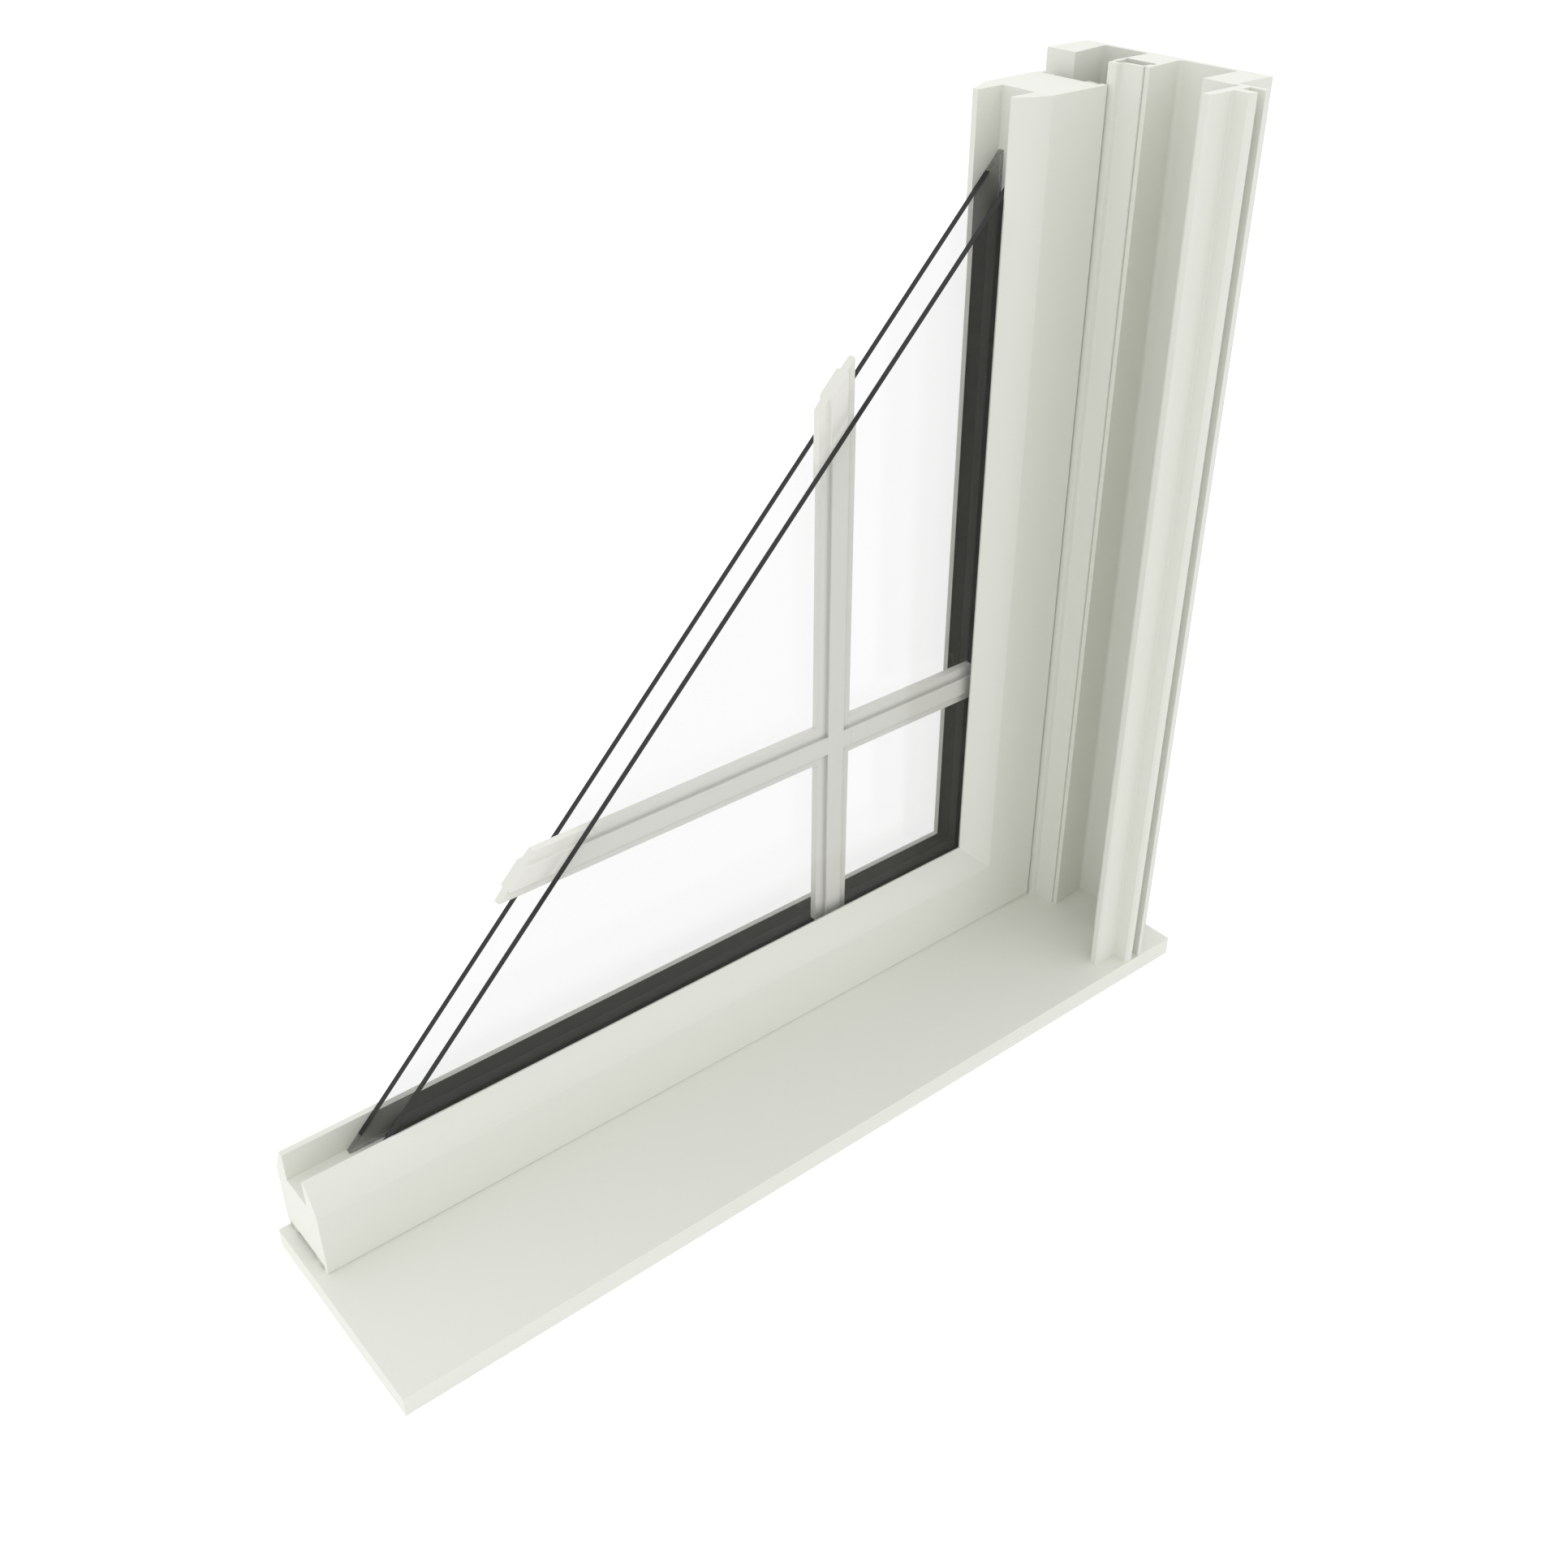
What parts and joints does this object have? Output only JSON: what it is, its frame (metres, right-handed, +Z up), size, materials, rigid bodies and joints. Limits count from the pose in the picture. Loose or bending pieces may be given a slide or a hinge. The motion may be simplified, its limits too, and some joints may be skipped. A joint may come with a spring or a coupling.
{
  "type": "hung window corner cutaway sample",
  "caption": "Cutaway corner of a hung window: sill, side jamb and mitred sash corner, with double glazing cut back at a slant to show the panes, spacer and grille bars.",
  "frame": {"origin": "middle of the footprint, on the underside of the sill", "axes": "+X to the right along the sill, towards the jamb; +Y from the outdoor side to the indoor side; +Z up"},
  "size_m": [0.4014, 0.1014, 0.3867],
  "materials": {
    "frame_pvc": "satin off-white rigid PVC",
    "insert_pvc": "satin off-white rigid PVC",
    "sash_pvc": "satin off-white rigid PVC",
    "clear_glass": "clear float glass",
    "spacer_foam": "matt dark grey warm-edge spacer",
    "edge_sealant": "matt black sealant",
    "bar_enamel": "satin off-white enamel",
    "soft_pvc": "matt off-white flexible PVC"
  },
  "bodies": {
    "root": {"sill": "frame_pvc", "jamb": "frame_pvc", "cover_strip": "insert_pvc", "screen_track": "insert_pvc", "sash_rail": "sash_pvc", "sash_stile": "sash_pvc", "glass_outdoor": "clear_glass", "glass_indoor": "clear_glass", "spacer_bottom": "spacer_foam", "spacer_side": "spacer_foam", "edge_seal_bottom": "edge_sealant", "edge_seal_side": "edge_sealant", "bedding_bottom": "edge_sealant", "bedding_side": "edge_sealant", "grille_bar_upright": "bar_enamel", "grille_bar_level": "bar_enamel", "weatherstrip_rail_front": "soft_pvc", "weatherstrip_rail_back": "soft_pvc", "weatherstrip_stile_front": "soft_pvc", "weatherstrip_stile_back": "soft_pvc"}
  },
  "joints": []
}
